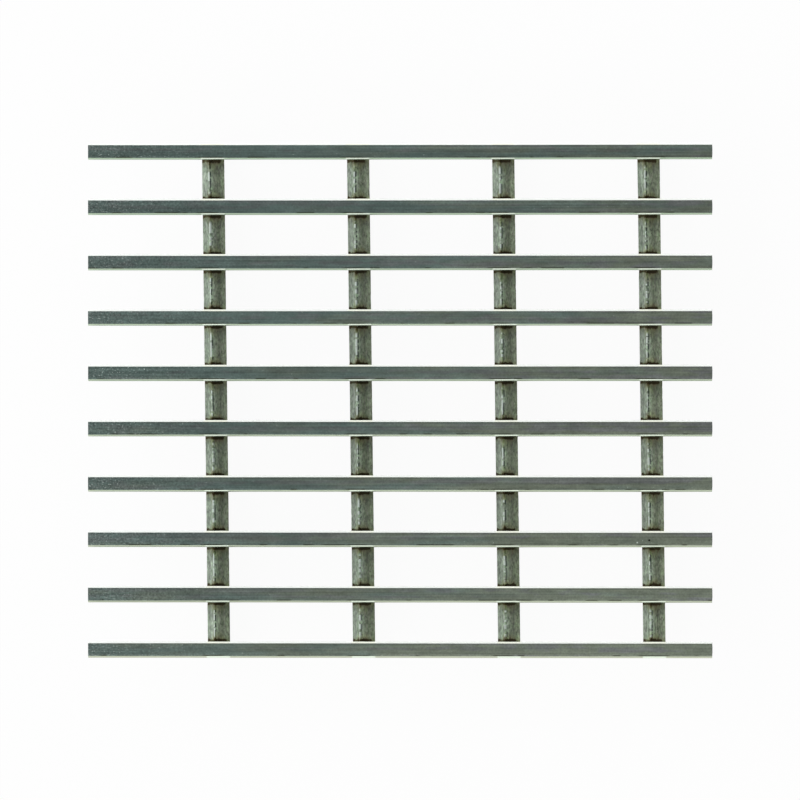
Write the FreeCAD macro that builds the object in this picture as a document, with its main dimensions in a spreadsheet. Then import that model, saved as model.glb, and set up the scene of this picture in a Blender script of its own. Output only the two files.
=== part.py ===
"""Wedge wire screen panel: tapered profile wires welded across tapered support rods.

The panel lies flat. The rods stand on z = 0 and run along Y, with a slight lean. The wires lie across the
rods along X, with their wide faces up. The origin is the middle of the underside. Sizes are in millimetres.
"""

import FreeCAD, Part
import os

import Sketcher

# Driving dimensions: name, value, meaning
DIMENSIONS = [
    ("wire_count", 10, "profile wires in the panel"),
    ("wire_pitch", 9.48, "from one wire's centre line to the next"),
    ("wire_length", 107.3, "cut length of a wire"),
    ("wire_width", 2.8, "across the wide upper face, shoulders included"),
    ("wire_height", 5.0, "from the root to the upper face"),
    ("wire_root", 1.0, "width of the narrow lower edge, which is welded to the rods"),
    ("wire_shoulder", 0.45, "rolled radius at each side of the upper face"),
    ("rod_count", 4, "support rods in the panel"),
    ("rod_pitch", 25.0, "from one rod's centre line to the next"),
    ("rod_inset", 21.0, "from the wires' left ends to the first rod's centre line, half way along the rod"),
    ("rod_lean", 0.7, "degrees the rods lean from square to the wires, as wires are wound on in a helix"),
    ("rod_width", 3.85, "across the base, shoulders included"),
    ("rod_height", 7.0, "from the base to the ridge"),
    ("rod_ridge", 0.3, "width of the narrow upper edge, which carries the wires"),
    ("rod_shoulder", 1.2, "rolled radius at each side of the base"),
    ("rod_overrun", 1.2, "how far a rod runs past the outer wires' centre lines"),
    ("weld_sink", 0.5, "how deep the weld presses a wire's root into a rod's ridge"),
]

doc = FreeCAD.newDocument("wedge_wire_screen")


def make_sheet():
    """The spreadsheet of driving dimensions, one aliased cell each."""
    sheet = doc.addObject("Spreadsheet::Sheet", "dims")
    for row, (name, value, meaning) in enumerate(DIMENSIONS, start=1):
        sheet.set(f"A{row}", name)
        sheet.set(f"B{row}", str(value))
        sheet.set(f"C{row}", meaning)
        sheet.setAlias(f"B{row}", name)
    doc.recompute()
    return sheet


dims = make_sheet()


def origin_feature(body, role):
    """One of a body's own origin planes or axes, found by its role."""
    return next(feature for feature in body.Origin.OriginFeatures if feature.Role == role)


def draw_wedge(sketch, wide_level, narrow_level, half_wide, half_narrow, radius):
    """Draws a wedge near its final shape and returns its pieces: two flats, two arcs and two flanks.

    The arcs and flanks are given by side, -1 left and 1 right. A flank runs from its arc to the narrow flat.
    """
    towards_narrow = 1 if narrow_level > wide_level else -1
    arc_centre_level = wide_level + towards_narrow * radius
    half_flat = half_wide - radius
    on_diagonal = radius * 0.5 ** 0.5

    def point(across, level):
        return FreeCAD.Vector(across, level, 0)

    def flat(half_length, level):
        return Part.LineSegment(point(-half_length, level), point(half_length, level))

    def arc(side):
        return Part.Arc(
            point(side * half_flat, wide_level),
            point(side * (half_flat + on_diagonal), arc_centre_level - towards_narrow * on_diagonal),
            point(side * half_wide, arc_centre_level),
        )

    def flank(side):
        return Part.LineSegment(
            point(side * half_wide, arc_centre_level),
            point(side * half_narrow, narrow_level),
        )

    wide = sketch.addGeometry(flat(half_flat, wide_level))
    narrow = sketch.addGeometry(flat(half_narrow, narrow_level))
    arcs = {side: sketch.addGeometry(arc(side)) for side in (-1, 1)}
    flanks = {side: sketch.addGeometry(flank(side)) for side in (-1, 1)}
    return wide, narrow, arcs, flanks


def wedge_sketch(body, plane, bar, narrow_name, wide_side_up):
    """The section of a tapered bar: a wide flat with rolled shoulders, straight flanks and a narrow flat.

    bar is the prefix of the bar's dimensions, and narrow_name is the one for its narrow flat. The lower flat
    lies on the sketch's horizontal axis, and the section is centred on its vertical axis.
    """
    sketch = body.newObject("Sketcher::SketchObject", f"{bar}_section")
    sketch.AttachmentSupport = (origin_feature(body, plane), [""])
    sketch.MapMode = "FlatFace"

    width = dims.get(f"{bar}_width")
    height = dims.get(f"{bar}_height")
    radius = dims.get(f"{bar}_shoulder")
    narrow_width = dims.get(narrow_name)
    wide_level, narrow_level = (height, 0) if wide_side_up else (0, height)
    wide, narrow, arcs, flanks = draw_wedge(
        sketch, wide_level, narrow_level, width / 2, narrow_width / 2, radius
    )
    lower, upper = (narrow, wide) if wide_side_up else (wide, narrow)

    start, end, centre = 1, 2, 3
    horizontal_axis, vertical_axis = -1, -2
    for side, flat_end in ((-1, start), (1, end)):
        # Arcs run counter-clockwise, so the end that meets the flat depends on the arc's quarter.
        arc_starts_on_flank = (side == 1) == wide_side_up
        on_flank, on_flat = (start, end) if arc_starts_on_flank else (end, start)
        sketch.addConstraint(Sketcher.Constraint("Tangent", wide, flat_end, arcs[side], on_flat))
        sketch.addConstraint(Sketcher.Constraint("Tangent", arcs[side], on_flank, flanks[side], start))
        sketch.addConstraint(Sketcher.Constraint("Coincident", flanks[side], end, narrow, flat_end))
    for flat in (wide, narrow):
        sketch.addConstraint(Sketcher.Constraint("Symmetric", flat, start, flat, end, vertical_axis))
    sketch.addConstraint(Sketcher.Constraint("Equal", arcs[-1], arcs[1]))
    sketch.addConstraint(Sketcher.Constraint("PointOnObject", lower, start, horizontal_axis))

    def size(name, formula, kind, *where_and_value):
        index = sketch.addConstraint(Sketcher.Constraint(kind, *where_and_value))
        sketch.renameConstraint(index, name)
        sketch.setExpression(f"Constraints.{name}", formula)

    arc_span = width - 2 * radius
    arc_span_formula = f"dims.{bar}_width - 2 * dims.{bar}_shoulder"
    size("shoulder", f"dims.{bar}_shoulder", "Radius", arcs[1], radius)
    size("arc_span", arc_span_formula, "DistanceX", arcs[-1], centre, arcs[1], centre, arc_span)
    size("narrow_flat", f"dims.{narrow_name}", "DistanceX", narrow, start, narrow, end, narrow_width)
    size("height", f"dims.{bar}_height", "DistanceY", lower, start, upper, start, height)
    return sketch


def bar_pad(body, sketch, bar, length):
    """One bar, padded both ways from its section."""
    pad = body.newObject("PartDesign::Pad", f"{bar}_pad")
    pad.Profile = sketch
    pad.SideType = "Symmetric"
    pad.setExpression("Length", length)
    return pad


def bar_row(body, pad, bar, row_axis):
    """The bar's copies, side by side along one of its body's axes."""
    doc.recompute()
    row = body.newObject("PartDesign::LinearPattern", f"{bar}_row")
    row.Originals = [pad]
    row.Direction = (origin_feature(body, row_axis), [""])
    row.Mode = "Spacing"
    row.setExpression("Offset", f"dims.{bar}_pitch")
    row.setExpression("Occurrences", f"dims.{bar}_count")
    body.Tip = row


def make_wires():
    """The profile wires, from the lowest Y up. Their roots are pressed into the rods' ridges."""
    wires = doc.addObject("PartDesign::Body", "profile_wires")
    section = wedge_sketch(wires, "YZ_Plane", "wire", "wire_root", wide_side_up=True)
    wire = bar_pad(wires, section, "wire", "dims.wire_length")
    bar_row(wires, wire, "wire", "Y_Axis")
    wires.setExpression("Placement.Base.y", "-(dims.wire_count - 1) * dims.wire_pitch / 2")
    wires.setExpression("Placement.Base.z", "dims.rod_height - dims.weld_sink")
    return wires


def make_rods():
    """The support rods, from the lowest X up. They stand on their bases and end under the outer wires.

    A rod's length is measured along Y, and its ends are cut along the wires.
    """
    rods = doc.addObject("PartDesign::Body", "support_rods")
    section = wedge_sketch(rods, "XZ_Plane", "rod", "rod_ridge", wide_side_up=False)
    rod = bar_pad(rods, section, "rod", "(dims.wire_count - 1) * dims.wire_pitch + 2 * dims.rod_overrun")
    rod.UseCustomVector = True
    rod.AlongSketchNormal = True
    rod.Direction = FreeCAD.Vector(0, 1, 0)
    rod.setExpression("Direction.x", "-sin(dims.rod_lean * 1 deg)")
    rod.setExpression("Direction.y", "cos(dims.rod_lean * 1 deg)")
    bar_row(rods, rod, "rod", "X_Axis")
    rods.setExpression("Placement.Base.x", "dims.rod_inset - dims.wire_length / 2")
    return rods


def weld(wires, rods):
    """The panel: every wire is resistance-welded to every rod it crosses, so it is one piece of metal."""
    panel = doc.addObject("Part::MultiFuse", "panel")
    panel.Label = "wedge_wire_panel"
    panel.Shapes = [wires, rods]
    panel.Refine = True
    return panel


def check(panel):
    """Stops if an object failed to compute, or if the bars did not become one valid solid."""
    for item in doc.Objects:
        faults = {"Invalid", "Error"} & set(item.State)
        if faults:
            raise RuntimeError(f"{item.Label} is {' and '.join(sorted(faults))}")
    shape = panel.Shape
    if shape.isNull() or not shape.isValid():
        raise RuntimeError(f"{panel.Label} has no valid shape")
    if len(shape.Solids) != 1:
        raise RuntimeError(f"{panel.Label} is in {len(shape.Solids)} solids, so a weld is open")


panel = weld(make_wires(), make_rods())
doc.recompute()
check(panel)

os.makedirs("parts", exist_ok=True)
panel.Shape.exportStep(f"parts/{panel.Label}.step")
box = panel.Shape.BoundBox
print(f"{panel.Label}: {box.XLength:.2f} x {box.YLength:.2f} x {box.ZLength:.2f} mm")
print(f"volume {panel.Shape.Volume:.1f} mm3, {len(panel.Shape.Faces)} faces")
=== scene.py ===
# %% [markdown]
# # A wedge wire screen panel
# Ten flat-faced profile wires lie across four support rods, and every crossing is a weld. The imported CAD
# model gives the true size and place of it all. This lesson dresses that frame: it grows the same bars again
# with the small unevenness of drawn wire, adds the metal that the welds squeeze out, and makes the finishes.

# %% Load the frame
import math

import bpy
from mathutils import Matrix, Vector


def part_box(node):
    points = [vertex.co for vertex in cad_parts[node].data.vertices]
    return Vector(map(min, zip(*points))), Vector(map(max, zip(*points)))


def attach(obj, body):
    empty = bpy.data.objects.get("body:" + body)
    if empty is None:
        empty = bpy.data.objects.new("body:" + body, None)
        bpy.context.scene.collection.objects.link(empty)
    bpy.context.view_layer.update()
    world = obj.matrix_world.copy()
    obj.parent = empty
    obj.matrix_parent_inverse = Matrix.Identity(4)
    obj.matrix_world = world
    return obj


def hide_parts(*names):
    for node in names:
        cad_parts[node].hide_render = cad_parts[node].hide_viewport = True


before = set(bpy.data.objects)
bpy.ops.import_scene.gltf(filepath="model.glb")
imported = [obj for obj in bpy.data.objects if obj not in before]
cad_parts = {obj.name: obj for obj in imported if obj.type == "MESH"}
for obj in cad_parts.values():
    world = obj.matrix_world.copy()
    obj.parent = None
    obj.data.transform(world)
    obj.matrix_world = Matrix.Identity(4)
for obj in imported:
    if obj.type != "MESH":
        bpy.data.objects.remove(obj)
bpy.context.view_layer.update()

# %% [markdown]
# ## Sizes
# The bars repeat, so a few driving sizes say where everything is. They could all be typed in, but what the
# frame can tell, such as the wires' length and the level of their face, is better read from it. Only the
# sections of the bars and their spacing are written here, in millimetres times MM, as Blender uses metres.

# %% Read the frame and name the driving sizes
MM = 0.001
PANEL_NODE = "wedge_wire_panel"
panel_low, panel_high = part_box(PANEL_NODE)

WIRE_COUNT = 10
WIRE_PITCH = 9.48 * MM
WIRE_WIDTH = 2.8 * MM
WIRE_HEIGHT = 5.0 * MM
WIRE_ROOT = 1.0 * MM
WIRE_SHOULDER = 0.45 * MM
wire_length = panel_high[0] - panel_low[0]
face_level = panel_high[2]
root_level = face_level - WIRE_HEIGHT
first_wire = panel_low[1] + WIRE_WIDTH / 2

ROD_COUNT = 4
ROD_PITCH = 25.0 * MM
ROD_INSET = 21.0 * MM
ROD_LEAN = math.radians(0.7)
ROD_WIDTH = 3.85 * MM
ROD_HEIGHT = 7.0 * MM
ROD_RIDGE = 0.3 * MM
ROD_SHOULDER = 1.2 * MM
ROD_OVERRUN = 1.2 * MM
first_rod = panel_low[0] + ROD_INSET
rod_length = (WIRE_COUNT - 1) * WIRE_PITCH + 2 * ROD_OVERRUN
print(f"wires {wire_length / MM:.1f} mm long, face at {face_level / MM:.1f} mm")
print(f"rods {rod_length / MM:.1f} mm long, first one at {first_rod / MM:.1f} mm")

# %% [markdown]
# ## Building node trees from a script
# Geometry Nodes and materials are both trees of nodes. They could be laid out by hand in Blender's editors,
# but a script shows every step and can be run again. A few small helpers keep it readable: they add a node
# and fill its inputs, make a group with named sockets, and do arithmetic. A new node goes into the tree that
# the outputs linked to it are in, so most helpers needn't be told which tree is meant.

# %% Helpers for node trees
def fill(socket, value):
    """Gives an input a plain value or links it to another node's output."""
    if isinstance(value, bpy.types.NodeSocket):
        socket.id_data.links.new(value, socket)
    else:
        socket.default_value = value


def tree_of(values):
    """The tree of the first node output among some values."""
    return next(value.id_data for value in values if isinstance(value, bpy.types.NodeSocket))


def add_node(kind, inputs=None, tree=None, **settings):
    """Adds a node, sets its options and fills its inputs. If nothing is linked in, it needs its tree."""
    inputs = inputs or {}
    if tree is None:
        tree = tree_of(inputs.values())
    made = tree.nodes.new(kind)
    for name, value in settings.items():
        setattr(made, name, value)
    for key, value in inputs.items():
        fill(made.inputs[key], value)
    return made


def output_of(kind, inputs=None, tree=None, **settings):
    """Adds a node and returns its first output."""
    return add_node(kind, inputs, tree, **settings).outputs[0]


def new_group(name, inputs, outputs, kind="ShaderNodeTree"):
    """Makes a node group with named sockets, and returns it with its inner inputs and outputs."""
    tree = bpy.data.node_groups.new(name, kind)
    for in_out, sockets in (("INPUT", inputs), ("OUTPUT", outputs)):
        for label, socket_type in sockets.items():
            tree.interface.new_socket(label, in_out=in_out, socket_type=f"NodeSocket{socket_type}")
    entry = tree.nodes.new("NodeGroupInput")
    leave = tree.nodes.new("NodeGroupOutput")
    return tree, entry.outputs, leave.inputs


def tell_nodes(name, tree):
    """Prints how many nodes a tree has."""
    print(f"{name}: {len(tree.nodes)} nodes")


# %% Helpers for arithmetic in node trees
def calculate(operation, *values):
    """One step of arithmetic on numbers."""
    return output_of("ShaderNodeMath", dict(enumerate(values)), operation=operation)


def times(*values):
    """The product of several numbers."""
    product = values[0]
    for value in values[1:]:
        product = calculate("MULTIPLY", product, value)
    return product


def map_range(value, low, high, to_low=0.0, to_high=1.0, smooth=True):
    """Maps low..high to to_low..to_high and stops at both ends. Low may lie above high."""
    kind = "SMOOTHSTEP" if smooth else "LINEAR"
    inputs = {0: value, 1: low, 2: high, 3: to_low, 4: to_high}
    return output_of("ShaderNodeMapRange", inputs, interpolation_type=kind)


def calculate_vector(operation, *values):
    """One step of arithmetic on vectors."""
    return output_of("ShaderNodeVectorMath", dict(enumerate(values)), operation=operation)


def scale_vector(vector, factor):
    """A vector times a number."""
    return output_of("ShaderNodeVectorMath", {0: vector, "Scale": factor}, operation="SCALE")


def split(vector):
    """The three numbers of a vector, by axis name."""
    return add_node("ShaderNodeSeparateXYZ", {0: vector}).outputs


def join(**numbers):
    """A vector from its numbers, by axis name."""
    return output_of("ShaderNodeCombineXYZ", numbers)


# %% Helpers for noise in node trees
def noise(place, scale=1.0, detail=2.0):
    """Smooth noise between 0 and 1, around a half."""
    return output_of("ShaderNodeTexNoise", {"Vector": place, "Scale": scale, "Detail": detail})


def stretched_noise(place, stretch, detail):
    """Noise with its own scale along each axis. Along an axis with a scale of 0 it doesn't change."""
    return noise(calculate_vector("MULTIPLY", place, stretch), detail=detail)


def signed_noise(place, scale, detail=2.0):
    """Noise between -0.5 and 0.5."""
    return calculate("SUBTRACT", noise(place, scale, detail), 0.5)


def around_half(value, reach, low, high, smooth=False):
    """Maps noise to low..high. It gets there at the given reach from a half."""
    return map_range(value, 0.5 - reach, 0.5 + reach, low, high, smooth)


# %% [markdown]
# ## Shared effects of the finish
# Both kinds of bar were drawn through a die, heated at the welds and sawn off. Each material could have its
# own nodes for that, but then every change is made twice. So these effects are built once, as shader groups,
# and every metal uses them with its own values. Object coordinates, in metres, keep patterns to true scale.

# %% Drawing lines: streaks along the bar, fine ones and broad ones
BAND_SCALE = 0.3
lines_group, given, result = new_group(
    "drawing lines", {"Place": "Vector", "Stretch": "Vector"}, {"Lines": "Float", "Bands": "Float"}
)
stretched = calculate_vector("MULTIPLY", given["Place"], given["Stretch"])
fill(result["Lines"], noise(stretched, detail=3.0))
fill(result["Bands"], noise(stretched, BAND_SCALE, detail=1.0))
tell_nodes("drawing lines", lines_group)

# %% Marks: spots or dashes, long along the axes that are stretched least
RAREST, COMMONEST = 0.75, 0.4
MARK_BORDER = 0.07
marks_group, given, result = new_group(
    "marks", {"Place": "Vector", "Stretch": "Vector", "Share": "Float"}, {"Marks": "Float"}
)
hills = stretched_noise(given["Place"], given["Stretch"], detail=1.0)
threshold = map_range(given["Share"], 0.0, 1.0, RAREST, COMMONEST, smooth=False)
above = calculate("SUBTRACT", hills, threshold)
fill(result["Marks"], map_range(above, 0.0, MARK_BORDER))
tell_nodes("marks", marks_group)

# %% Place from the crossing: across the nearest rod, along it, and above its ridge
crossing_group, given, result = new_group(
    "place from the crossing", {"Place": "Vector"}, {"Offset": "Vector"}
)
place = split(given["Place"])
along_rods = calculate("SUBTRACT", place["Y"], first_wire)
from_wire = calculate("WRAP", along_rods, WIRE_PITCH / 2, -WIRE_PITCH / 2)
unleaned = calculate("MULTIPLY_ADD", place["Y"], math.tan(ROD_LEAN), place["X"])
along_wires = calculate("SUBTRACT", unleaned, first_rod)
from_rod = calculate("WRAP", along_wires, ROD_PITCH / 2, -ROD_PITCH / 2)
from_ridge = calculate("SUBTRACT", place["Z"], ROD_HEIGHT)
fill(result["Offset"], join(X=from_rod, Y=from_wire, Z=from_ridge))
tell_nodes("place from the crossing", crossing_group)

# %% Weld heat: one at the crossing, none past a ragged border that is round or square
ROUND, SQUARE = 2.0, 16.0
RAGGED_SCALE = 1100.0
heat_group, given, result = new_group(
    "weld heat",
    {"Place": "Vector", "Offset": "Vector", "Reach": "Vector", "Squareness": "Float", "Softness": "Float",
     "Ragged": "Float"},
    {"Heat": "Float"},
)
distances = calculate_vector("ABSOLUTE", given["Offset"])
shares = split(calculate_vector("DIVIDE", distances, given["Reach"]))
powers = [calculate("POWER", shares[axis], given["Squareness"]) for axis in "XYZ"]
power_sum = calculate("ADD", powers[0], calculate("ADD", powers[1], powers[2]))
root = calculate("DIVIDE", 1.0, given["Squareness"])
away = calculate("POWER", power_sum, root)
uneven = signed_noise(given["Place"], RAGGED_SCALE, detail=3.0)
ragged = calculate("MULTIPLY_ADD", uneven, given["Ragged"], away)
full_heat = calculate("SUBTRACT", 1.0, given["Softness"])
fill(result["Heat"], map_range(ragged, 1.0, full_heat))
tell_nodes("weld heat", heat_group)

# %% Helpers for colours
def mix_colours(factor, first, second, blend="MIX"):
    """Blends two colours."""
    inputs = {0: factor, 6: first, 7: second}
    return add_node("ShaderNodeMix", inputs, data_type="RGBA", blend_type=blend).outputs[2]


def multiply_colours(first, second):
    """A colour times another one, or times a tone."""
    return mix_colours(1.0, first, second, "MULTIPLY")


def colour_ramp(value, stops):
    """A colour that follows a value between 0 and 1 through the given stops."""
    ramp = add_node("ShaderNodeValToRGB", {0: value})
    elements = ramp.color_ramp.elements
    while len(elements) < len(stops):
        elements.new(1.0)
    for element, (position, colour) in zip(elements, stops):
        element.position = position
        element.color = colour
    return ramp.outputs[0]


def tone_ramp(value, low, high, tones):
    """A grey that follows a value between low and high through the given stops."""
    share = map_range(value, low, high, smooth=False)
    return colour_ramp(share, [(position, (tone, tone, tone, 1)) for position, tone in tones])


# %% Heat tint: steel turns straw, brown and black as it was heated more
TINTS = [
    (0.0, (0.26, 0.235, 0.11, 1)),
    (0.4, (0.1, 0.075, 0.026, 1)),
    (0.75, (0.03, 0.022, 0.014, 1)),
    (1.0, (0.008, 0.007, 0.006, 1)),
]
tint_group, given, result = new_group(
    "heat tint", {"Steel": "Color", "Heat": "Float"}, {"Tinted": "Color"}
)
tint = colour_ramp(given["Heat"], TINTS)
covered = map_range(given["Heat"], 0.0, 0.5)
fill(result["Tinted"], mix_colours(covered, given["Steel"], tint))
tell_nodes("heat tint", tint_group)

# %% Sawn ends: where the surface faces along the bar, and how pale the saw's lines are there
SAW_STRETCH = (500.0, 500.0, 7000.0)
end_group, given, result = new_group(
    "sawn ends", {"Place": "Vector", "Bar Direction": "Vector"}, {"End": "Float", "Saw Lines": "Float"}
)
outward = add_node("ShaderNodeTexCoord", tree=end_group).outputs["Normal"]
facing = add_node("ShaderNodeVectorMath", {0: outward, 1: given["Bar Direction"]}, operation="DOT_PRODUCT")
straightness = calculate("ABSOLUTE", facing.outputs["Value"])
fill(result["End"], map_range(straightness, 0.8, 0.95))
saw_noise = stretched_noise(given["Place"], SAW_STRETCH, detail=2.0)
fill(result["Saw Lines"], around_half(saw_noise, 0.2, 0.5, 1.5))
tell_nodes("sawn ends", end_group)

# %% Helpers for materials
ALONG_X = (1.0, 0.0, 0.0)
ALONG_Y = (0.0, 1.0, 0.0)
BAR_NUMBER = "bar_number"


def new_material(name):
    """A node material, with the inputs of its Principled shader and its Object coordinates."""
    material = bpy.data.materials.new(name)
    material.use_nodes = True
    tree = material.node_tree
    place = add_node("ShaderNodeTexCoord", tree=tree).outputs["Object"]
    return material, tree.nodes["Principled BSDF"].inputs, place


def use_group(group, **inputs):
    """Places a shader group in a material. An underscore in an input's name stands for a space."""
    placed = add_node("ShaderNodeGroup", tree=tree_of(inputs.values()), node_tree=group)
    for name, value in inputs.items():
        fill(placed.inputs[name.replace("_", " ").title()], value)
    return placed.outputs


def marks(place, stretch, share):
    """Spots or dashes from the shared group."""
    return use_group(marks_group, place=place, stretch=stretch, share=share)["Marks"]


def weld_heat(place, offset, **border):
    """The heat round the crossings from the shared group."""
    return use_group(heat_group, place=place, offset=offset, **border)["Heat"]


def heat_tint(steel, heat):
    """Steel with its heat tint from the shared group."""
    return use_group(tint_group, steel=steel, heat=heat)["Tinted"]


def near(value, middle, reach, softness):
    """One where a number lies within reach of a middle value, fading out over a softness."""
    away = calculate("ABSOLUTE", calculate("SUBTRACT", value, middle))
    return map_range(away, reach + softness, reach)


def raise_surface(shader, height, depth, strength):
    """Lets a height bump the surface of a material."""
    bump = output_of("ShaderNodeBump", {"Height": height, "Distance": depth, "Strength": strength})
    fill(shader["Normal"], bump)


# %% [markdown]
# ## The finish of the profile wires
# The wires are drawn stainless steel, a grey that leans to green: bluer at the left ends, more olive at the
# right, and violet in streaks. Each wire has a tone of its own, and one paler line where the die was worn.
# The tones are partly painted light: lighter towards the first wires, and towards the right ends.
# One grey with one noise would make ten copies of the same clean bar. So the colour is a product of layers:
# cast, tone of the wire, die line, streaks, mottling and grain, each as strong as the photograph shows it.

# %% The steel of the wires
WIRE_LINES = (40.0, 3200.0, 3200.0)
BLUE_GREEN = (0.34, 0.462, 0.436, 1)
OLIVE = (0.415, 0.468, 0.376, 1)
VIOLET = (0.395, 0.41, 0.425, 1)
CAST_PATCHES = (60.0, 500.0, 0.0)
VIOLET_SPOTS = (220.0, 900.0, 0.0)
BROAD_MOTTLING = (70.0, 250.0, 0.0)
FINE_MOTTLING = (350.0, 900.0, 0.0)
GRAIN_SCALE = 2800.0
DIE_LINE = 0.62 * MM
LAST_WIRE = WIRE_COUNT - 1.0
# The wires' tones: partly their own, partly painted light that is lighter towards the first wires.
WIRE_TONES_AND_LIGHT = [
    (0.0, 0.92), (0.11, 0.87), (0.22, 0.83), (0.33, 0.79), (0.5, 0.755), (0.67, 0.765), (0.78, 0.745),
    (0.89, 0.68), (1.0, 0.69),
]
TONE_SCALE = 1.5


def wire_cast(place, along, lines, left_to_right, number):
    """The steel's cast: blue green at the left ends, olive at the right and low down, violet in streaks."""
    patches = stretched_noise(place, CAST_PATCHES, detail=4.0)
    from_left = calculate("SUBTRACT", left_to_right, 0.74)
    lean = calculate("MULTIPLY_ADD", number, -0.065, from_left)
    uneven = calculate("MULTIPLY_ADD", patches, 2.0, lean)
    cast = mix_colours(map_range(uneven, 0.0, 1.0), BLUE_GREEN, OLIVE)
    spots = stretched_noise(place, VIOLET_SPOTS, detail=3.0)
    spotted = calculate("ADD", lines["Bands"], spots)
    streaks = calculate("MULTIPLY_ADD", along, 0.06 / MM, spotted)
    strength = map_range(left_to_right, 0.0, 1.0, 0.45, 0.8)
    violet = times(map_range(streaks, 0.97, 1.2), strength)
    return mix_colours(violet, cast, VIOLET)


def wire_steel(place, along, lines, left_to_right, number):
    """The steel's colour: its cast times all its tones, some of which are painted light."""
    tone_and_light = times(tone_ramp(number, 0.0, LAST_WIRE, WIRE_TONES_AND_LIGHT), TONE_SCALE)
    slope = map_range(number, 4.0, LAST_WIRE, -0.13 / MM, 0.04 / MM, smooth=False)
    across_tone = calculate("MULTIPLY_ADD", along, slope, 1.0)
    # Painted light: lighter towards the right ends, most on the first wires.
    paler = map_range(number, 0.0, LAST_WIRE, 0.22, 0.04, smooth=False)
    right_half = map_range(left_to_right, 0.3, 0.62, -0.5, 0.5)
    right_light = calculate("MULTIPLY_ADD", right_half, paler, 1.0)
    on_die_line = near(along, DIE_LINE, 0.1 * MM, 0.25 * MM)
    die_tone = calculate("MULTIPLY_ADD", on_die_line, 0.14, 0.97)
    streak = around_half(lines["Lines"], 0.25, 0.78, 1.2)
    broad = around_half(stretched_noise(place, BROAD_MOTTLING, detail=1.0), 0.25, 0.9, 1.1)
    fine = around_half(stretched_noise(place, FINE_MOTTLING, detail=4.0), 0.25, 0.82, 1.18)
    mottling = times(broad, fine)
    grain_depth = map_range(left_to_right, 0.3, 0.02, 0.6, 1.5)
    grain = calculate("MULTIPLY_ADD", signed_noise(place, GRAIN_SCALE), grain_depth, 1.0)
    tone = times(tone_and_light, across_tone, right_light, die_tone, streak, mottling, grain)
    return multiply_colours(wire_cast(place, along, lines, left_to_right, number), tone)


print("tones of the wires:", len(WIRE_TONES_AND_LIGHT), "stops for", WIRE_COUNT, "wires")

# %% [markdown]
# ## Marks on the wires
# Handling has left small marks on the faces: bright specks and facets near the left ends, scores and soot
# along the lower edge, a pit, and a bright nick beside it. Cut into the mesh they would need far more faces
# for a few hundredths of a millimetre, so they are masks that change the colour. Facets and nick glint in
# the photograph. Their glint is a painted highlight: matt pale spots, so that they show from every side.

# %% Marks on the wires' faces
# Pale spots: specks in the steel, and painted highlights on the facets and the nick.
PALE_SPECKS_AND_HIGHLIGHTS = (0.75, 0.82, 0.78, 1)
SOOT = (0.1, 0.11, 0.065, 1)
PIT_COLOUR = (0.03, 0.032, 0.025, 1)
SPECK_STRETCH = (4800.0, 4800.0, 4800.0)
FACET_STRETCH = (3200.0, 3600.0, 0.0)
SCORE_STRETCH = (260.0, 105.0, 0.0)
LOWER_EDGE = -1.0 * MM
PIT_PLACE = (42.88 * MM, -23.9 * MM, face_level)
PIT_RADIUS = 0.16 * MM
NICK_PLACE = (40.82 * MM, -24.28 * MM, face_level)
NICK_RADIUS = 0.13 * MM


def in_spot(place, middle, radius):
    """One in a small round spot, fading out at its border."""
    distance = add_node("ShaderNodeVectorMath", {0: place, 1: middle}, operation="DISTANCE")
    return map_range(distance.outputs["Value"], 1.5 * radius, 0.7 * radius)


def specked(place, steel, left_to_right, number, on_face):
    """Bright specks at the left ends, on some wires more than on others."""
    draw = add_node("ShaderNodeTexWhiteNoise", {"W": number}, noise_dimensions="1D").outputs["Value"]
    at_left_end = map_range(left_to_right, 0.16, 0.0)
    share = times(at_left_end, map_range(draw, 0.0, 1.0, 0.3, 0.55))
    specks = marks(place, SPECK_STRETCH, share)
    return mix_colours(times(specks, on_face, 0.6), steel, PALE_SPECKS_AND_HIGHLIGHTS)


def sooty(place, steel, across, along, on_face):
    """Soot along the lower edge of the face, in scores and over the rods."""
    lower_edge = times(near(along, LOWER_EDGE, 0.05 * MM, 0.12 * MM), on_face)
    over_rod = near(across, 0.0, 1.2 * MM, 1.2 * MM)
    scores = marks(place, SCORE_STRETCH, 0.5)
    darkening = calculate("MAXIMUM", times(scores, 0.75), times(over_rod, 0.75))
    return mix_colours(times(darkening, lower_edge), steel, SOOT)


def facet_highlights(place, left_to_right, on_face):
    """Painted highlights on facets, most of them near the left ends, and on the nick."""
    share = times(map_range(left_to_right, 0.28, 0.03, 0.1, 0.34), on_face)
    facets = marks(place, FACET_STRETCH, share)
    nick = times(in_spot(place, NICK_PLACE, NICK_RADIUS), 0.6)
    return calculate("MAXIMUM", times(facets, on_face, 0.5), nick)


print(f"pit at {PIT_PLACE[0] / MM:.2f} mm, nick at {NICK_PLACE[0] / MM:.2f} mm along the wires")

# %% [markdown]
# ## Shoulders and ends of the wires
# Rolling has polished the shoulders beside each face. In the photograph the upper ones are nearly white and
# the lower ones pale green, paler still where a rod lies behind them. A lamp placed to be mirrored there
# would also be mirrored in the faces from other sides. So the shoulders get their own colours, found by the
# direction of the surface: a painted highlight on the upper ones, which are matt, and a painted reflection
# on the lower ones. The sawn ends are dark, with the lines of the saw.

# %% The whole finish of the wires
# Painted light on the shoulders: reflections on the lower ones, highlights on the upper ones.
LOWER_REFLECTION_FIRST = (0.525, 0.56, 0.435, 1)
LOWER_REFLECTION_LAST = (0.475, 0.6, 0.445, 1)
LOWER_REFLECTION_OVER_ROD = (0.8, 0.885, 0.75, 1)
UPPER_HIGHLIGHT = (0.97, 1.0, 0.97, 1)
UPPER_HIGHLIGHT_OVER_ROD = (0.98, 1.0, 0.88, 1)
SAWN_WIRE = (0.06, 0.065, 0.064, 1)
WIRE_HEAT = {"reach": (2.8 * MM, 5 * MM, 2.6 * MM), "squareness": ROUND, "softness": 0.7, "ragged": 0.4}


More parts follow.
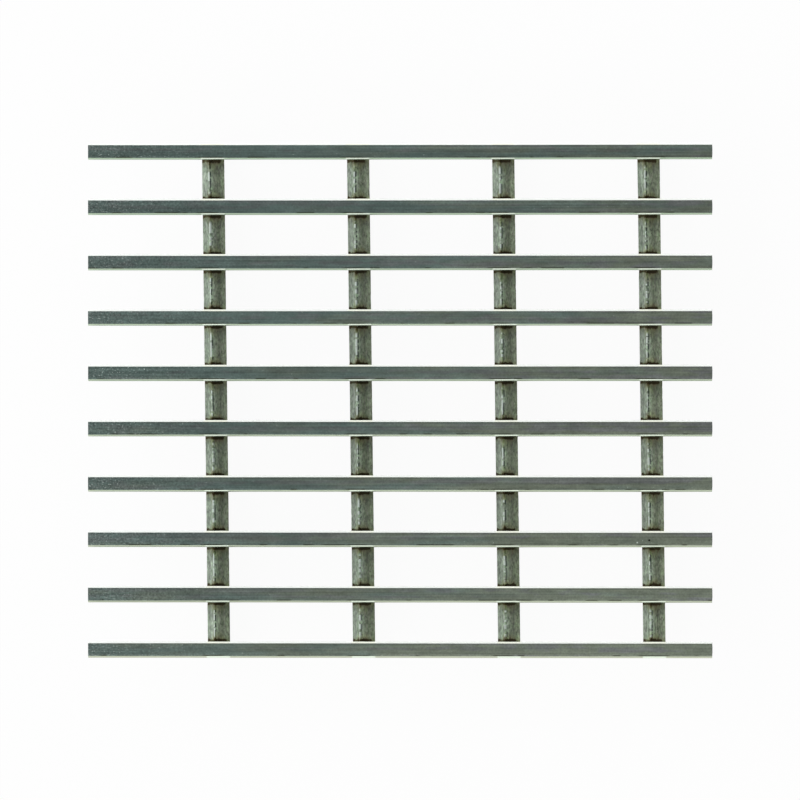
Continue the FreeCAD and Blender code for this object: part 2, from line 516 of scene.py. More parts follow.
def painted_shoulder_light(place, across, along, upward):
    """The painted light on the shoulders, where they are, and where the upper ones are."""
    is_lower = map_range(along, 0.3 * MM, -0.3 * MM)
    bends = map_range(is_lower, 0.0, 1.0, 0.985, 0.994)
    bent = calculate("SUBTRACT", bends, 0.08)
    shoulder = times(map_range(upward, bends, bent), map_range(upward, -0.1, 0.15))
    over_rod = near(across, 0.9 * MM, 1.8 * MM, 0.4 * MM)
    first_to_last = map_range(split(place)["Y"], first_wire, -first_wire, smooth=False)
    free_reflection = mix_colours(first_to_last, LOWER_REFLECTION_FIRST, LOWER_REFLECTION_LAST)
    lower_reflection = mix_colours(over_rod, free_reflection, LOWER_REFLECTION_OVER_ROD)
    upper_highlight = mix_colours(over_rod, UPPER_HIGHLIGHT, UPPER_HIGHLIGHT_OVER_ROD)
    shoulder_light = mix_colours(is_lower, upper_highlight, lower_reflection)
    upper_shoulder = calculate("MULTIPLY_ADD", times(shoulder, is_lower), -1.0, shoulder)
    return shoulder_light, shoulder, upper_shoulder


def drawn_wire():
    """The finish of the profile wires."""
    material, shader, place = new_material("drawn_wire")
    tree = material.node_tree
    offset = use_group(crossing_group, place=place)["Offset"]
    from_crossing = split(offset)
    across, along = from_crossing["X"], from_crossing["Y"]
    half_length = wire_length / 2
    left_to_right = map_range(split(place)["X"], -half_length, half_length, smooth=False)
    number = add_node("ShaderNodeAttribute", tree=tree, attribute_name=BAR_NUMBER).outputs["Fac"]
    upward = split(add_node("ShaderNodeTexCoord", tree=tree).outputs["Normal"])["Z"]
    on_face = map_range(upward, 0.5, 0.75)

    lines = use_group(lines_group, place=place, stretch=WIRE_LINES)
    steel = wire_steel(place, along, lines, left_to_right, number)
    speckled = specked(place, steel, left_to_right, number, on_face)
    scored = sooty(place, speckled, across, along, on_face)
    bright = facet_highlights(place, left_to_right, on_face)
    # Painted highlights on the facets and the nick.
    highlighted = mix_colours(bright, scored, PALE_SPECKS_AND_HIGHLIGHTS)
    pitted = mix_colours(in_spot(place, PIT_PLACE, PIT_RADIUS), highlighted, PIT_COLOUR)
    shoulder_light, shoulder, upper_shoulder = painted_shoulder_light(place, across, along, upward)
    # The shoulders get their painted highlight and reflections.
    shoulder_lit = mix_colours(shoulder, pitted, shoulder_light)
    tinted = heat_tint(shoulder_lit, weld_heat(place, offset, **WIRE_HEAT))
    ends = use_group(end_group, place=place, bar_direction=ALONG_X)
    end = ends["End"]
    sawn = multiply_colours(SAWN_WIRE, ends["Saw Lines"])
    fill(shader["Base Color"], mix_colours(end, tinted, sawn))

    shine = around_half(lines["Bands"], 0.2, 0.26, 0.36, smooth=True)
    fill(shader["Roughness"], calculate("MULTIPLY_ADD", end, 0.5, shine))
    matt = calculate("MAXIMUM", calculate("MAXIMUM", end, bright), upper_shoulder)
    fill(shader["Metallic"], calculate("SUBTRACT", 1.0, matt))
    raise_surface(shader, lines["Lines"], 0.008 * MM, 0.6)
    return material


drawn_wire_finish = drawn_wire()
tell_nodes("drawn_wire", drawn_wire_finish.node_tree)

# %% [markdown]
# ## The finish of the support rods
# The rods are duller than the wires: a rough olive skin, blotched in tone and hue, and patchier on the left
# flank. Painted light makes it palest near the ridge and at the foot, and bluer on the left flank. Near the
# welds it is sooty, with a straw tint and a painted shadow of each wire. It could be one dirty noise all
# over, but the dirt and the painted shadow keep their distance from the welds. So tones and tints follow the
# place from the nearest crossing, and noise only breaks them up.

# %% The skin of the rods
DARK_SKIN = (0.325, 0.388, 0.266, 1)
PALE_SKIN = (0.665, 0.785, 0.55, 1)
GREENER_TINT = (0.9, 1.0, 0.88, 1)
GREYER_TINT = (1.1, 1.0, 1.12, 1)
STRAW_TINT = (1.04, 1.0, 0.7, 1)
CLEAN_TINT = (0.995, 1.0, 1.05, 1)
# Painted light: the left flank, which is lit, is bluer than the right one, which is in shade.
LEFT_LIT_TINT = (0.97, 1.0, 1.05, 1)
RIGHT_SHADED_TINT = (1.0, 1.0, 0.92, 1)
# Soot and a painted shadow of each wire: darker near it, and farther on its side of lower Y.
SOOT_AND_SHADOW_TONES = [
    (0.0, 1.0), (0.09, 0.9), (0.13, 0.76), (0.19, 0.65), (0.24, 0.55), (0.28, 0.43), (0.5, 0.3),
    (0.72, 0.88), (0.88, 0.98), (1.0, 1.0),
]
# Painted light on the flanks from foot to ridge: paler at the foot and near the ridge.
LEFT_FLANK_LIGHT = [(0.0, 0.59), (0.44, 0.55), (0.55, 0.6), (0.66, 0.68), (0.77, 0.73), (0.9, 0.73), (1.0, 1.0)]
RIGHT_FLANK_LIGHT = [
    (0.0, 0.6), (0.3, 0.72), (0.39, 0.66), (0.45, 0.58), (0.57, 0.42), (0.69, 0.47), (0.81, 0.6),
    (0.93, 0.96), (1.0, 1.05),
]
HUE_STRETCH = (1600.0, 900.0, 1600.0)
BLOTCH_SCALE = 1500.0
PATCH_SCALE = 800.0


def sooty_shaded_skin(place, across, along, from_weld, lines):
    """The skin, streaked and blotched, with sooty darkening, painted shadow and straw tint round the welds.
    """
    streaked = mix_colours(lines["Lines"], DARK_SKIN, PALE_SKIN)
    hues = stretched_noise(place, HUE_STRETCH, detail=2.0)
    hue_tint = mix_colours(around_half(hues, 0.2, 0.0, 1.0), GREENER_TINT, GREYER_TINT)
    mottled = multiply_colours(streaked, hue_tint)
    blotches = around_half(noise(place, BLOTCH_SCALE, detail=4.0), 0.2, 0.48, 1.52)
    # The soot and painted shadow reach less far on the left flank, and the straw tint less far on both
    # flanks.
    sooner = map_range(across, -0.15 * MM, -1.0 * MM, 0.98, 1.3)
    darkening = tone_ramp(times(along, sooner), -WIRE_PITCH / 2, WIRE_PITCH / 2, SOOT_AND_SHADOW_TONES)
    aside = calculate("ABSOLUTE", calculate("SUBTRACT", across, 0.2 * MM))
    cooler = map_range(aside, 0.5 * MM, 1.3 * MM, 1.0, 1.4)
    clean = map_range(times(from_weld, cooler), 1.7 * MM, 3.8 * MM)
    darkened = multiply_colours(mottled, times(blotches, darkening))
    return multiply_colours(darkened, mix_colours(clean, STRAW_TINT, CLEAN_TINT))


def flank_light_and_patches(place, from_line, above):
    """Painted light on the flanks: paler at foot and ridge, bluer on the left, which is also patchier."""
    patches = around_half(noise(place, PATCH_SCALE), 0.2, 0.65, 1.35)
    left_light = times(tone_ramp(above, -ROD_HEIGHT, 0.0, LEFT_FLANK_LIGHT), patches)
    right_light = tone_ramp(above, -ROD_HEIGHT, 0.0, RIGHT_FLANK_LIGHT)
    tone = mix_colours(map_range(from_line, -0.1 * MM, 0.1 * MM), left_light, right_light)
    tint = mix_colours(map_range(from_line, 0.0, 0.9 * MM), LEFT_LIT_TINT, RIGHT_SHADED_TINT)
    return multiply_colours(tone, tint)


print("tones of the rods:", len(SOOT_AND_SHADOW_TONES), "stops along,", len(LEFT_FLANK_LIGHT), "and", len(RIGHT_FLANK_LIGHT), "up")

# %% [markdown]
# ## The ridge line and burns of the rods
# Along the ridge runs a line that wanders a little: bright dashes on its left, which are painted highlights,
# and dark ones on its right. Beside every wire the heat has burnt the rod nearly black, and a painted shadow
# of the wire darkens it further, with a ragged border and a rusty fringe. Burns could be separate pieces of
# dark scale, but they have no thickness, so they are masks too. They use the square kind of weld heat, which
# ends in a straight band, as the burns do beside the straight wires.

# %% The whole finish of the rods
ROD_LINES = (2600.0, 180.0, 900.0)
STRAY_STRETCH = (40.0, 50.0, 0.0)
LARGEST_STRAY = 0.55 * MM
DASH_STRETCH = (140.0, 1200.0, 0.0)
GLINT_STRETCH = (160.0, 1200.0, 0.0)
ROD_PIT_STRETCH = (2600.0, 2000.0, 1200.0)
DASH_COLOUR = (0.03, 0.042, 0.044, 1)
# The bright dashes on the ridge are painted highlights.
GLINT_COLOUR = (0.82, 0.9, 0.84, 1)
ROD_PIT_COLOUR = (0.04, 0.045, 0.028, 1)
# Burnt nearly black beside each wire, with a painted shadow of the wire on top.
BURN_AND_SHADOW_COLOUR = (0.05, 0.038, 0.018, 1)
SAWN_ROD = (0.24, 0.25, 0.235, 1)
FRINGE = {"reach": (1.2 * MM, 2.7 * MM, 5 * MM), "squareness": SQUARE, "softness": 0.6, "ragged": 0.8}
BURN_AND_SHADOW = {"reach": (2.1 * MM, 1.93 * MM, 7 * MM), "squareness": SQUARE, "softness": 0.08, "ragged": 0.26}
END_HEAT = {"reach": (3 * MM, 9 * MM, 4.5 * MM), "squareness": ROUND, "softness": 0.7, "ragged": 0.4}


def ridge_line_marks(place, from_line, from_weld, above, skin):
    """Dark dashes on the right of the ridge and painted highlights on its left, clear of the welds."""
    clear = map_range(from_weld, 2.0 * MM, 2.8 * MM)
    on_ridge = times(map_range(above, -0.7 * MM, -0.25 * MM), clear)
    dashes = marks(place, DASH_STRETCH, 0.9)
    right_of_line = near(from_line, 0.13 * MM, 0.07 * MM, 0.08 * MM)
    dashed = mix_colours(times(dashes, right_of_line, on_ridge, 0.8), skin, DASH_COLOUR)
    # The bright dashes are painted highlights.
    glints = marks(place, GLINT_STRETCH, 0.82)
    left_of_line = near(from_line, -0.19 * MM, 0.14 * MM, 0.12 * MM)
    return mix_colours(times(glints, left_of_line, on_ridge), dashed, GLINT_COLOUR)


def burn_and_shadow_bands(place, offset, across, skin):
    """The skin with its fringe and its burns darkened by painted shadow, and where those are."""
    # The fringe lies to the right of the ridge, and the burn and its painted shadow to the left, so they are
    # measured from there.
    fringe_offset = calculate_vector("ADD", offset, (-0.35 * MM, 0.0, 0.0))
    fringe = weld_heat(place, fringe_offset, **FRINGE)
    fringed = heat_tint(skin, times(fringe, 0.6))
    left_flank = near(across, -0.7 * MM, 0.3 * MM, 0.5 * MM)
    shorter = map_range(left_flank, 0.0, 1.0, 1.0, 1.07, smooth=False)
    from_band = calculate_vector("ADD", offset, (0.54 * MM, 0.04 * MM, 0.0))
    band_offset = calculate_vector("MULTIPLY", from_band, join(X=1.0, Y=shorter, Z=1.0))
    burn_and_shadow = weld_heat(place, band_offset, **BURN_AND_SHADOW)
    share = times(burn_and_shadow, map_range(left_flank, 0.0, 1.0, 1.0, 0.72, smooth=False))
    return mix_colours(share, fringed, BURN_AND_SHADOW_COLOUR), burn_and_shadow


def dull_rod():
    """The finish of the support rods."""
    material, shader, place = new_material("dull_rod")
    offset = use_group(crossing_group, place=place)["Offset"]
    from_crossing = split(offset)
    across, along, above = (from_crossing[axis] for axis in "XYZ")
    from_weld = calculate("ABSOLUTE", calculate("ADD", along, 0.25 * MM))
    # The dashed line and its painted highlights stray from the middle of the ridge, differently along each
    # rod.
    strays = stretched_noise(place, STRAY_STRETCH, detail=1.0)
    stray = calculate("MULTIPLY_ADD", strays, 2 * LARGEST_STRAY, -LARGEST_STRAY)
    from_line = calculate("ADD", across, stray)

    lines = use_group(lines_group, place=place, stretch=ROD_LINES)
    tinted = sooty_shaded_skin(place, across, along, from_weld, lines)
    skin = multiply_colours(tinted, flank_light_and_patches(place, from_line, above))
    pits = marks(place, ROD_PIT_STRETCH, 0.35)
    pitted = mix_colours(times(pits, 0.5), skin, ROD_PIT_COLOUR)
    ridge_marked = ridge_line_marks(place, from_line, from_weld, above, pitted)
    burnt_and_shaded, burn_and_shadow = burn_and_shadow_bands(place, offset, across, ridge_marked)
    ends = use_group(end_group, place=place, bar_direction=ALONG_Y)
    sawn = multiply_colours(SAWN_ROD, ends["Saw Lines"])
    sawn_end = heat_tint(sawn, weld_heat(place, offset, **END_HEAT))
    fill(shader["Base Color"], mix_colours(ends["End"], burnt_and_shaded, sawn_end))

    dullness = around_half(lines["Bands"], 0.2, 0.42, 0.55, smooth=True)
    fill(shader["Roughness"], calculate("MULTIPLY_ADD", burn_and_shadow, 0.45, dullness))
    fill(shader["Metallic"], map_range(burn_and_shadow, 0.0, 1.0, 0.25, 0.0, smooth=False))
    shader["Specular IOR Level"].default_value = 0.05
    raise_surface(shader, lines["Lines"], 0.012 * MM, 0.7)
    return material


dull_rod_finish = dull_rod()
tell_nodes("dull_rod", dull_rod_finish.node_tree)

# %% [markdown]
# ## The finish of the weld flash
# The metal that the welds squeezed out froze in small beads. They were the hottest, so they are dark, with a
# bronze shade where the scale is thin. They could share the rods' finish, but that one is measured from the
# crossings, and all of a bead lies within its burn. Patches of the shared heat tint show the bronze.

# %% The finish of the weld flash
FLASH_STEEL = (0.3, 0.32, 0.3, 1)
SCALE_PATCHES = 1500.0
SCALE_GRAIN = 6000.0


def burnt_flash():
    """The finish of the squeezed-out metal."""
    material, shader, place = new_material("burnt_flash")
    patches = noise(place, SCALE_PATCHES)
    heat = map_range(patches, 0.3, 0.65, 0.25, 0.85)
    fill(shader["Base Color"], heat_tint(FLASH_STEEL, heat))
    fill(shader["Roughness"], around_half(patches, 0.2, 0.35, 0.6, smooth=True))
    shader["Metallic"].default_value = 0.8
    raise_surface(shader, noise(place, SCALE_GRAIN), 0.02 * MM, 1.0)
    return material


burnt_flash_finish = burnt_flash()
tell_nodes("burnt_flash", burnt_flash_finish.node_tree)

# %% [markdown]
# ## A row of tapered bars
# Wires and rods are one kind of thing: wedges with two rolled shoulders, drawn to a length and set in a row.
# Fourteen bars could be modelled by hand, but one Geometry Nodes tree makes both kinds and keeps them alike.
# It draws the wedge as a trapezoid, rounds its corners, sweeps it along a line and copies it along a row.
# Noise then bends each bar by a few hundredths of a millimetre and nicks it, as drawn wire isn't straight.

# %% The section and the sweep
BAR_INPUTS = {
    "Bars": "Int", "First Bar": "Vector", "Step": "Vector", "Turn": "Float", "Length": "Float",
    "Lower Width": "Float", "Upper Width": "Float", "Height": "Float",
    "Shoulder Radius": "Float", "Edge Radius": "Float", "Corner Points": "Int", "Rings": "Int",
    "End Slant": "Float", "Waviness": "Float", "Nicks": "Float", "Finish": "Material",
}
bar_tree, given, result = new_group("tapered bars", BAR_INPUTS, {"Bars": "Geometry"}, "GeometryNodeTree")


def bar_section(tree, given):
    """The wedge, centred, with the shoulder radius at its wide corners and the edge radius at the others."""
    wedge = output_of("GeometryNodeCurvePrimitiveQuadrilateral", {
        "Height": given["Height"], "Bottom Width": given["Lower Width"], "Top Width": given["Upper Width"],
        "Offset": 0.0,
    }, mode="TRAPEZOID")
    place = split(output_of("GeometryNodeInputPosition", tree=tree))
    width_sum = calculate("ADD", given["Lower Width"], given["Upper Width"])
    half_mean = calculate("MULTIPLY", width_sum, 0.25)
    is_wide = calculate("GREATER_THAN", calculate("ABSOLUTE", place["X"]), half_mean)
    extra = calculate("SUBTRACT", given["Shoulder Radius"], given["Edge Radius"])
    radius = calculate("MULTIPLY_ADD", is_wide, extra, given["Edge Radius"])
    rounded = output_of("GeometryNodeFilletCurve", {
        "Curve": wedge, "Count": given["Corner Points"], "Radius": radius,
    }, mode="POLY")
    # A sweep along +X turns the section's up side down, so it is turned over first.
    upside_down = (0.0, 0.0, math.pi)
    return output_of("GeometryNodeTransform", {"Geometry": rounded, "Rotation": upside_down})


def swept_bar(tree, given, section):
    """One bar along X, closed at both ends, which are cut back a little below its top."""
    half = calculate("MULTIPLY", given["Length"], 0.5)
    start = join(X=calculate("MULTIPLY", half, -1.0))
    line = output_of("GeometryNodeCurvePrimitiveLine", {"Start": start, "End": join(X=half)})
    rail = output_of("GeometryNodeResampleCurve", {"Curve": line, "Count": given["Rings"]})
    square = output_of("GeometryNodeCurveToMesh", {
        "Curve": rail, "Profile Curve": section, "Fill Caps": True,
    })
    place = split(output_of("GeometryNodeInputPosition", tree=tree))
    half_height = calculate("MULTIPLY", given["Height"], 0.5)
    below_top = calculate("SUBTRACT", half_height, place["Z"])
    cut_back = times(below_top, calculate("TANGENT", given["End Slant"]), -1.0)
    towards_end = calculate("DIVIDE", place["X"], half)
    move = join(X=times(cut_back, towards_end))
    return output_of("GeometryNodeSetPosition", {"Geometry": square, "Offset": move})


one_bar = swept_bar(bar_tree, given, bar_section(bar_tree, given))
tell_nodes("one bar", bar_tree)

# %% The row, its unevenness and its finish
BEND_SCALE = 45.0
BEND_SEED = 7.3
NICK_SCALE = 700.0
NICKS_BEGIN, NICKS_FULL = 0.56, 0.8
MIDDLE_GREY = (0.5, 0.5, 0.5)
SHARP_EDGE = math.radians(50)


def set_in_row(tree, given, bar):
    """Copies of the bar along the row, each with its number, as one mesh."""
    row = output_of("GeometryNodeMeshLine", {
        "Count": given["Bars"], "Start Location": given["First Bar"], "Offset": given["Step"],
    })
    copies = output_of("GeometryNodeInstanceOnPoints", {
        "Points": row, "Instance": bar, "Rotation": join(Z=given["Turn"]),
    })
    numbered = output_of("GeometryNodeStoreNamedAttribute", {
        "Geometry": copies, "Name": BAR_NUMBER, "Value": output_of("GeometryNodeInputIndex", tree=tree),
    }, data_type="FLOAT", domain="INSTANCE")
    return output_of("GeometryNodeRealizeInstances", {"Geometry": numbered})


def roughened(tree, given, bars):
    """Bends every bar in its own way and presses small nicks into it."""
    place = output_of("GeometryNodeInputPosition", tree=tree)
    number = output_of("GeometryNodeInputNamedAttribute", {"Name": BAR_NUMBER}, tree, data_type="FLOAT")
    seed = calculate("MULTIPLY", number, BEND_SEED)
    bend = add_node("ShaderNodeTexNoise", {
        "Vector": place, "W": seed, "Scale": BEND_SCALE, "Detail": 1.0,
    }, noise_dimensions="4D")
    centred = calculate_vector("SUBTRACT", bend.outputs["Color"], MIDDLE_GREY)
    hills = noise(place, NICK_SCALE)
    depth = map_range(hills, NICKS_BEGIN, NICKS_FULL, 0.0, -1.0, smooth=False)
    outward = output_of("GeometryNodeInputNormal", tree=tree)
    nick = scale_vector(outward, calculate("MULTIPLY", depth, given["Nicks"]))
    move = calculate_vector("ADD", scale_vector(centred, given["Waviness"]), nick)
    return output_of("GeometryNodeSetPosition", {"Geometry": bars, "Offset": move})


def shaded(tree, shape, finish):
    """Smooth shading with sharp edges where the surface turns hard, and the finish."""
    smooth = output_of("GeometryNodeSetShadeSmooth", {
        "Geometry": shape, "Shade Smooth": True,
    }, domain="FACE")
    angle = output_of("GeometryNodeInputMeshEdgeAngle", tree=tree)
    hard = calculate("GREATER_THAN", angle, SHARP_EDGE)
    edged = output_of("GeometryNodeSetShadeSmooth", {
        "Geometry": smooth, "Selection": hard, "Shade Smooth": False,
    }, domain="EDGE")
    return output_of("GeometryNodeSetMaterial", {"Geometry": edged, "Material": finish})


rough_bars = roughened(bar_tree, given, set_in_row(bar_tree, given, one_bar))
fill(result["Bars"], shaded(bar_tree, rough_bars, given["Finish"]))
tell_nodes("tapered bars", bar_tree)

# %% [markdown]
# ## From a tree to a plain piece
# The tree is put on an empty object as a modifier, with its inputs. A Weighted Normal modifier after it
# keeps the wide flats flat in the light, although the shading is smooth round the shoulders. The modifiers
# could stay, but the finished piece has to be a plain mesh, so the evaluated result is kept instead.

# %% Make a piece from a tree
def grown_piece(name, tree, sizes):
    """An object whose plain mesh was grown by a Geometry Nodes tree."""
    piece = bpy.data.objects.new(name, bpy.data.meshes.new(name))
    bpy.context.scene.collection.objects.link(piece)
    growing = piece.modifiers.new("grow", "NODES")
    growing.node_group = tree
    sockets = {item.name: item.identifier for item in tree.interface.items_tree if item.in_out == "INPUT"}
    for input_name, value in sizes.items():
        growing[sockets[input_name]] = value
    flat_light = piece.modifiers.new("flat faces stay flat", "WEIGHTED_NORMAL")
    flat_light.keep_sharp = True
    depsgraph = bpy.context.evaluated_depsgraph_get()
    mesh = bpy.data.meshes.new_from_object(piece.evaluated_get(depsgraph))
    piece.modifiers.clear()
    piece.data = mesh
    mesh.name = name
    mesh.calc_loop_triangles()
    print(f"{name}: {len(mesh.loop_triangles)} triangles")
    return piece


def sharp_corner(width, narrow_width, height, radius):
    """The full width at which a wedge's flanks would meet its wide flat if the shoulders weren't rounded."""
    centre = width / 2 - radius
    aside = narrow_width / 2 - centre
    apart = height - radius
    outward = math.atan2(apart, aside) - math.acos(radius / math.hypot(aside, apart))
    return 2 * (centre + radius * (1 + math.sin(outward)) / math.cos(outward))


# %% Grow the profile wires
profile_wires = grown_piece("profile_wires", bar_tree, {
    "Bars": WIRE_COUNT,
    "First Bar": (0.0, first_wire, root_level + WIRE_HEIGHT / 2),
    "Step": (0.0, WIRE_PITCH, 0.0),
    "Turn": 0.0,
    "Length": wire_length,
    "Lower Width": WIRE_ROOT,
    "Upper Width": sharp_corner(WIRE_WIDTH, WIRE_ROOT, WIRE_HEIGHT, WIRE_SHOULDER),
    "Height": WIRE_HEIGHT,
    "Shoulder Radius": WIRE_SHOULDER,
    "Edge Radius": 0.12 * MM,
    "Corner Points": 5,
    "Rings": 300,
    "End Slant": math.radians(4.0),
    "Waviness": 0.05 * MM,
    "Nicks": 0.006 * MM,
    "Finish": drawn_wire_finish,
})

# %% Grow the support rods
support_rods = grown_piece("support_rods", bar_tree, {
    "Bars": ROD_COUNT,
    "First Bar": (first_rod, 0.0, ROD_HEIGHT / 2),
    "Step": (ROD_PITCH, 0.0, 0.0),
    "Turn": ROD_LEAN - math.pi / 2,
    "Length": rod_length,
    "Lower Width": sharp_corner(ROD_WIDTH, ROD_RIDGE, ROD_HEIGHT, ROD_SHOULDER),
    "Upper Width": ROD_RIDGE,
    "Height": ROD_HEIGHT,
    "Shoulder Radius": ROD_SHOULDER,
    "Edge Radius": 0.1 * MM,
    "Corner Points": 5,
    "Rings": 260,
    "End Slant": 0.0,
    "Waviness": 0.06 * MM,
    "Nicks": 0.06 * MM,
    "Finish": dull_rod_finish,
})

# %% [markdown]
# ## Weld flash
# A resistance weld presses the wire's root into the rod's ridge, and the softened metal is squeezed out on
# four sides: along the ridge on both sides of the wire, and under the wire on both sides of the rod. Forty
# welds could be sculpted one by one, but nobody sees them that close. A second tree sets four small beads at
# every crossing, varies their size and roughens them.

# %% The tree of weld beads
BEAD_INPUTS = {
    "Rods": "Int", "Wires": "Int", "First Crossing": "Vector", "Rod Step": "Vector", "Wire Step": "Vector",
    "Ridge Bead": "Vector", "Ridge Spread": "Vector", "Root Bead": "Vector", "Root Spread": "Vector",
    "Roughness": "Float", "Seed": "Int", "Finish": "Material",
}
bead_tree, given, result = new_group("weld beads", BEAD_INPUTS, {"Beads": "Geometry"}, "GeometryNodeTree")
BEAD_ROUGHNESS_SCALE = 2600.0
BEAD_SUBDIVISIONS = 3
SMALLEST, LARGEST = 0.8, 1.2
UNMIRRORED = (1.0, 1.0, 1.0)
BEAD_MIRRORS = {"Ridge": (1.0, -1.0, 1.0), "Root": (-1.0, 1.0, 1.0)}


def crossings(tree, given):
    """A point at every crossing, rod by rod along each wire."""
    count = calculate("MULTIPLY", given["Rods"], given["Wires"])
    points = output_of("GeometryNodeMeshLine", {"Count": count})
    index = output_of("GeometryNodeInputIndex", tree=tree)
    rod = calculate("FLOORED_MODULO", index, given["Rods"])
    wire = calculate("FLOOR", calculate("DIVIDE", index, given["Rods"]))
    along_wire = scale_vector(given["Rod Step"], rod)
    along_rod = scale_vector(given["Wire Step"], wire)
    steps = calculate_vector("ADD", along_wire, along_rod)
    place = calculate_vector("ADD", given["First Crossing"], steps)
    return output_of("GeometryNodeSetPosition", {"Geometry": points, "Position": place})


def four_beads(tree, given):
    """The beads of one crossing, two on the ridge and two under the root."""
    ball_sizes = {"Radius": 1.0, "Subdivisions": BEAD_SUBDIVISIONS}
    ball = output_of("GeometryNodeMeshIcoSphere", ball_sizes, tree)
    together = add_node("GeometryNodeJoinGeometry", tree=tree)
    for kind, mirrored in BEAD_MIRRORS.items():
        for mirror in (UNMIRRORED, mirrored):
            spread = calculate_vector("MULTIPLY", given[f"{kind} Spread"], mirror)
            bead = output_of("GeometryNodeTransform", {
                "Geometry": ball, "Translation": spread, "Scale": given[f"{kind} Bead"],
            })
            tree.links.new(bead, together.inputs[0])
    return together.outputs[0]


def uneven_beads(tree, given):
    """The beads set at every crossing, each set a little larger or smaller, and roughened."""
    size = output_of("FunctionNodeRandomValue", {
        "Min": (SMALLEST,) * 3, "Max": (LARGEST,) * 3, "Seed": given["Seed"],
    }, data_type="FLOAT_VECTOR")
    sets = output_of("GeometryNodeInstanceOnPoints", {
        "Points": crossings(tree, given), "Instance": four_beads(tree, given), "Scale": size,
    })
    beads = output_of("GeometryNodeRealizeInstances", {"Geometry": sets})
    uneven = signed_noise(output_of("GeometryNodeInputPosition", tree=tree), BEAD_ROUGHNESS_SCALE)
    outward = output_of("GeometryNodeInputNormal", tree=tree)
    move = scale_vector(outward, calculate("MULTIPLY", uneven, given["Roughness"]))
    return output_of("GeometryNodeSetPosition", {"Geometry": beads, "Offset": move})


fill(result["Beads"], shaded(bead_tree, uneven_beads(bead_tree, given), given["Finish"]))
tell_nodes("weld beads", bead_tree)

# %% Grow the weld flash
weld_flash = grown_piece("weld_flash", bead_tree, {
    "Rods": ROD_COUNT,
    "Wires": WIRE_COUNT,
    "First Crossing": (first_rod - first_wire * math.tan(ROD_LEAN), first_wire, root_level),
    "Rod Step": (ROD_PITCH, 0.0, 0.0),
    "Wire Step": (-WIRE_PITCH * math.tan(ROD_LEAN), WIRE_PITCH, 0.0),
    "Ridge Bead": (0.34 * MM, 0.36 * MM, 0.3 * MM),
    "Ridge Spread": (0.0, 0.62 * MM, 0.42 * MM),
    "Root Bead": (0.3 * MM, 0.46 * MM, 0.26 * MM),
    "Root Spread": (0.4 * MM, 0.0, -0.02 * MM),
    "Roughness": 0.3 * MM,
    "Seed": 4,
    "Finish": burnt_flash_finish,
})

# %% [markdown]
# ## Riding on the frame
# On the real panel wires, rods and flash are one welded piece of metal, and nothing moves. They could be
# joined in one mesh, but three pieces are easier to change. Each rides on the panel's one body, and the
# CAD node is hidden.

# %% Tie the pieces to the frame
for piece in (profile_wires, support_rods, weld_flash):
    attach(piece, "root")
    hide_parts(PANEL_NODE)
print("pieces ride on the frame")

# %% [markdown]
# ## The floor and the world
# The photograph is taken from above on white. More light would make any floor white, but would bleach the
# metal too. So the floor and the world are white only to the camera, and the floor also in reflections. The
# floor keeps a little of its plain shading, so that the shadow stays, and the light on the panel stays dim.

# %% White floor
WHITE = (1.0, 1.0, 1.0, 1.0)
PAPER = (0.9, 0.9, 0.9, 1)
FLOOR_GLOW = 0.95
FLOOR_HALF = 3.0


def white_floor():
    """White paper that glows a little for the camera and in reflections."""
    material = bpy.data.materials.new("white_floor")
    material.use_nodes = True
    tree = material.node_tree
    tree.nodes.clear()
    path = add_node("ShaderNodeLightPath", tree=tree).outputs
    seen = calculate("MAXIMUM", path["Is Camera Ray"], path["Is Glossy Ray"])
    seen = calculate("MAXIMUM", seen, path["Is Transmission Ray"])
    paper = output_of("ShaderNodeBsdfDiffuse", {"Color": PAPER}, tree)
    glow = output_of("ShaderNodeEmission", {"Color": WHITE, "Strength": 1.0}, tree)
    share = calculate("MULTIPLY", seen, FLOOR_GLOW)
    mixed = output_of("ShaderNodeMixShader", {0: share, 1: paper, 2: glow})
    add_node("ShaderNodeOutputMaterial", {"Surface": mixed})
    return material


floor_mesh = bpy.data.meshes.new("floor")
floor_corners = [(x * FLOOR_HALF, y * FLOOR_HALF, 0.0) for x, y in ((-1, -1), (1, -1), (1, 1), (-1, 1))]
floor_mesh.from_pydata(floor_corners, [], [(0, 1, 2, 3)])
floor_mesh.materials.append(white_floor())
floor = bpy.data.objects.new("floor", floor_mesh)
bpy.context.scene.collection.objects.link(floor)
print("floor:", 2 * FLOOR_HALF, "m wide")

# %% Dim world, white to the camera
AMBIENT = (0.235, 0.241, 0.235, 1.0)
world = bpy.data.worlds.new("studio")
bpy.context.scene.world = world
world.use_nodes = True
sky_tree = world.node_tree
sky_tree.nodes.clear()
camera_ray = add_node("ShaderNodeLightPath", tree=sky_tree).outputs["Is Camera Ray"]
dim = output_of("ShaderNodeBackground", {"Color": AMBIENT, "Strength": 1.0}, sky_tree)
white = output_of("ShaderNodeBackground", {"Color": WHITE, "Strength": 1.0}, sky_tree)
sky = output_of("ShaderNodeMixShader", {0: camera_ray, 1: dim, 2: white})
add_node("ShaderNodeOutputWorld", {"Surface": sky})
print("world is dim, and white to the camera")
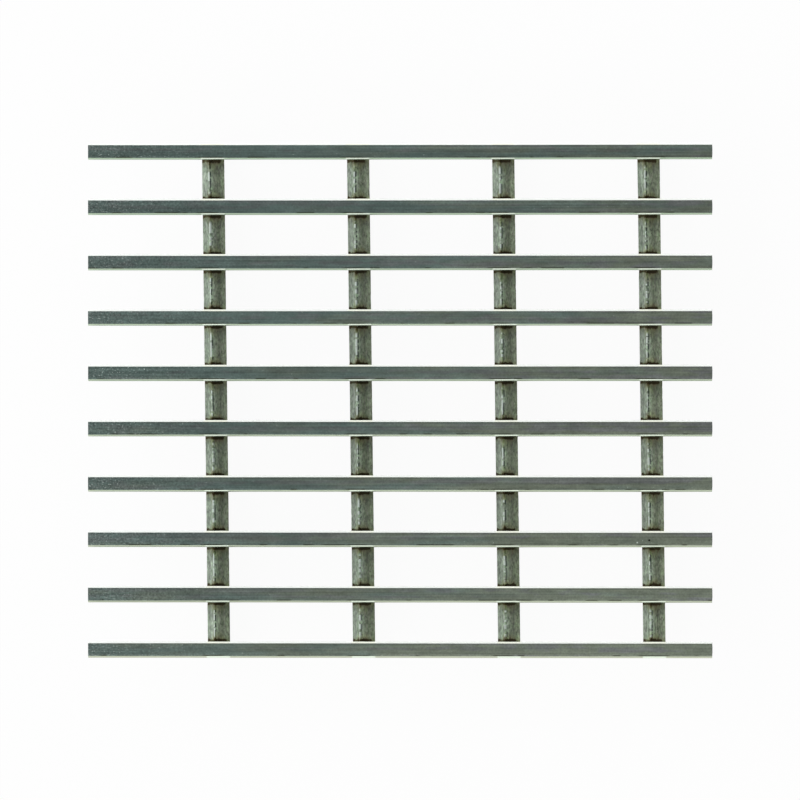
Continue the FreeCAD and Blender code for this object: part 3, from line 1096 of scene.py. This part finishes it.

# %% [markdown]
# ## The softboxes
# A low softbox behind the panel lights the upper shoulders, whose near-white highlight is painted, one in
# front lights the lower ones, and a large one at the left, with painted light, makes the left flanks of the
# rods paler than the right. Small bare lamps would draw hard shadows. The back and left softboxes aren't
# mirrored in the metal, or the flat faces would turn white from some sides.

# %% Softboxes
SOFTBOXES = {
    "back_softbox": {"place": (0.0, 1.0, 0.22), "size": (1.4, 0.4), "radiance": 3.6, "mirrored": False},
    "front_softbox": {"place": (0.0, -0.94, 0.46), "size": (1.4, 0.9), "radiance": 0.95, "mirrored": True},
    "left_softbox": {"place": (-1.6, 0.0, 0.9), "size": (4.4, 1.9), "radiance": 2.3, "mirrored": False},
}


def softbox(name, place, size, radiance, mirrored):
    """A rectangular area lamp that looks at the panel, and that the metal mirrors or not."""
    data = bpy.data.lights.new(name, "AREA")
    data.shape = "RECTANGLE"
    data.size, data.size_y = size
    data.energy = radiance * math.pi * size[0] * size[1]
    lamp = bpy.data.objects.new(name, data)
    lamp.location = place
    lamp.rotation_mode = "QUATERNION"
    lamp.rotation_quaternion = Vector(place).to_track_quat("Z", "Y")
    lamp.visible_camera = False
    lamp.visible_glossy = mirrored
    bpy.context.scene.collection.objects.link(lamp)
    print(f"{name}: {data.energy:.1f} W")


for name, settings in SOFTBOXES.items():
    softbox(name, **settings)

# %% [markdown]
# ## The camera
# The photograph looks almost straight down, from a little to the right, so that more of each rod's right
# flank shows. A camera close by would spread the rods' ridges apart towards the edges of the picture. The
# photograph shows nothing of that, so the camera stands far away and has a long lens.

# %% Camera
CAMERA_TILT = math.radians(5.5)
CAMERA_DISTANCE = 5.0
CAMERA_LENS = 1314.5
SENSOR_WIDTH = 36.0
AIM = Vector((0.056 * MM, 0.1 * MM, face_level))
camera_data = bpy.data.cameras.new("camera")
camera_data.sensor_width = SENSOR_WIDTH
camera_data.lens = CAMERA_LENS
camera = bpy.data.objects.new("camera", camera_data)
towards_camera = Vector((math.sin(CAMERA_TILT), 0.0, math.cos(CAMERA_TILT)))
camera.location = AIM + CAMERA_DISTANCE * towards_camera
camera.rotation_euler = (0.0, CAMERA_TILT, 0.0)
bpy.context.scene.collection.objects.link(camera)
bpy.context.scene.camera = camera
bpy.context.scene.view_settings.view_transform = "Standard"
print("camera at", [round(value, 3) for value in camera.location])
